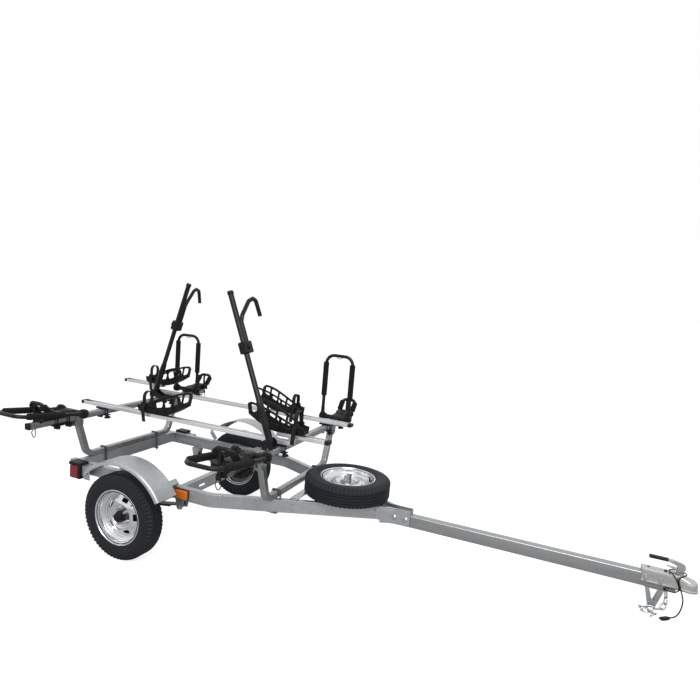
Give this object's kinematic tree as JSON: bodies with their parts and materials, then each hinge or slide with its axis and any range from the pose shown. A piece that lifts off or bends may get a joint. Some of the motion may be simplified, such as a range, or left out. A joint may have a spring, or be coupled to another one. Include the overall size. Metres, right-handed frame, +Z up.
{
  "type": "kayak and bike trailer",
  "caption": "Light tongue trailer with load bars that carry folding padded kayak hoops, bicycle wheel trays with hook arms, and a spare wheel laid flat ahead of the bars.",
  "frame": {"origin": "centre of the tongue stand's foot on the ground", "axes": "+X forward along the tongue in plan, +Y to the trailer's left, +Z up; the trailer stands parked, pitched nose down 5.1 degrees"},
  "size_m": [3.9597, 1.9152, 1.6675],
  "materials": {
    "galvanised_steel": "hot-dip galvanised, dull silver-grey with a soft spangle",
    "zinc_steel": "bright zinc plate, semi-gloss",
    "black_coated_steel": "satin black powder coat",
    "black_plastic": "fine moulded grain, matt",
    "aluminium": "mill finish with fine lengthwise lines",
    "tyre_rubber": "matt black rubber",
    "lead_rubber": "smooth black jacket",
    "red_lens": "clear red moulded lens",
    "amber_lens": "clear amber moulded lens",
    "spring_steel": "dark galvanised leaves"
  },
  "bodies": {
    "frame": {"side_rail_left": "galvanised_steel", "side_rail_right": "galvanised_steel", "rear_crossmember": "galvanised_steel", "middle_crossmember": "galvanised_steel", "spare_carrier": "zinc_steel", "splice_plate_left": "galvanised_steel", "splice_plate_right": "galvanised_steel", "tongue": "galvanised_steel", "coupler": "zinc_steel", "tongue_stand": "galvanised_steel", "fender_left": "galvanised_steel", "fender_right": "galvanised_steel", "leaf_spring_left": "spring_steel", "leaf_spring_right": "spring_steel", "spare_tyre": "tyre_rubber", "spare_rim": "zinc_steel", "front_upright": "galvanised_steel", "rear_upright": "galvanised_steel", "front_load_bar": "galvanised_steel", "rear_load_bar": "galvanised_steel", "bike_tray_left": "aluminium", "bike_tray_right": "aluminium", "tray_clamp_front_left": "black_plastic", "tray_clamp_front_right": "black_plastic", "tray_clamp_rear_left": "black_plastic", "tray_clamp_rear_right": "black_plastic", "tail_light_left": "red_lens", "tail_light_right": "red_lens", "side_marker_left": "amber_lens", "side_marker_right": "amber_lens", "wheel_holder_right_front": "black_plastic", "wheel_holder_right_rear": "black_plastic", "wheel_holder_left_rear": "black_plastic", "wheel_holder_left_front": "black_plastic", "arm_base_left": "black_plastic", "arm_base_right": "black_plastic", "cradle_base_front_left": "black_plastic", "cradle_base_rear_left": "black_plastic", "cradle_base_front_right": "black_plastic", "cradle_base_rear_right": "black_plastic", "safety_chain": "zinc_steel", "wiring_lead": "lead_rubber", "flat_plug": "lead_rubber"},
    "axle": {"axle_beam": "galvanised_steel"},
    "wheel_left": {"tyre_left": "tyre_rubber", "rim_left": "zinc_steel", "hub_left": "zinc_steel"},
    "wheel_right": {"tyre_right": "tyre_rubber", "rim_right": "zinc_steel", "hub_right": "zinc_steel"},
    "latch": {"latch_lever": "zinc_steel", "latch_grip": "black_plastic"},
    "arm_left": {"mast_left": "black_coated_steel"},
    "hook_left": {"hook_left": "black_coated_steel"},
    "arm_right": {"mast_right": "black_coated_steel"},
    "hook_right": {"hook_right": "black_coated_steel"},
    "hoop_front_left": {"hoop_front_left": "black_coated_steel"},
    "hoop_rear_left": {"hoop_rear_left": "black_coated_steel"},
    "hoop_front_right": {"hoop_front_right": "black_coated_steel"},
    "hoop_rear_right": {"hoop_rear_right": "black_coated_steel"}
  },
  "joints": [
    {"name": "axle_suspension", "type": "slide", "parent": "frame", "child": "axle", "axis": [0.0889, 0, 0.996], "range_m": [-0.015, 0.04], "stiffness_N_per_m": 60000, "springref_m": -0.018, "deforming": ["leaf_spring_left", "leaf_spring_right"]},
    {"name": "wheel_left_spin", "type": "hinge", "parent": "axle", "child": "wheel_left", "pos_m": [-2.80609, 0.623, 0.259], "axis": [0, 1, 0], "continuous": true},
    {"name": "wheel_right_spin", "type": "hinge", "parent": "axle", "child": "wheel_right", "pos_m": [-2.80609, -0.623, 0.259], "axis": [0, 1, 0], "continuous": true},
    {"name": "coupler_latch", "type": "hinge", "parent": "frame", "child": "latch", "pos_m": [0.12182, 0, 0.21753], "axis": [0, 1, 0], "range_deg": [0, 70]},
    {"name": "arm_left_fold", "type": "hinge", "parent": "frame", "child": "arm_left", "pos_m": [-3.34595, 0.295, 0.84692], "axis": [0, 1, 0], "range_deg": [-40, 48]},
    {"name": "arm_right_fold", "type": "hinge", "parent": "frame", "child": "arm_right", "pos_m": [-1.96146, -0.35, 0.72335], "axis": [0, 1, 0], "range_deg": [-48, 40]},
    {"name": "hook_left_slide", "type": "slide", "parent": "arm_left", "child": "hook_left", "axis": [0.3907, 0, 0.9205], "range_m": [-0.25, 0.2]},
    {"name": "hook_right_slide", "type": "slide", "parent": "arm_right", "child": "hook_right", "axis": [-0.2807, 0, 0.9598], "range_m": [-0.25, 0.2]},
    {"name": "hoop_front_left_fold", "type": "hinge", "parent": "frame", "child": "hoop_front_left", "pos_m": [-1.94102, 0.535, 0.70486], "axis": [-0.996, 0, 0.0889], "range_deg": [0, 83]},
    {"name": "hoop_rear_left_fold", "type": "hinge", "parent": "frame", "child": "hoop_rear_left", "pos_m": [-3.3056, 0.61, 0.82666], "axis": [-0.996, 0, 0.0889], "range_deg": [0, 83]},
    {"name": "hoop_front_right_fold", "type": "hinge", "parent": "frame", "child": "hoop_front_right", "pos_m": [-1.94102, -0.585, 0.70486], "axis": [-0.996, 0, 0.0889], "range_deg": [0, 83]},
    {"name": "hoop_rear_right_fold", "type": "hinge", "parent": "frame", "child": "hoop_rear_right", "pos_m": [-3.3056, -0.515, 0.82666], "axis": [-0.996, 0, 0.0889], "range_deg": [0, 83]}
  ]
}
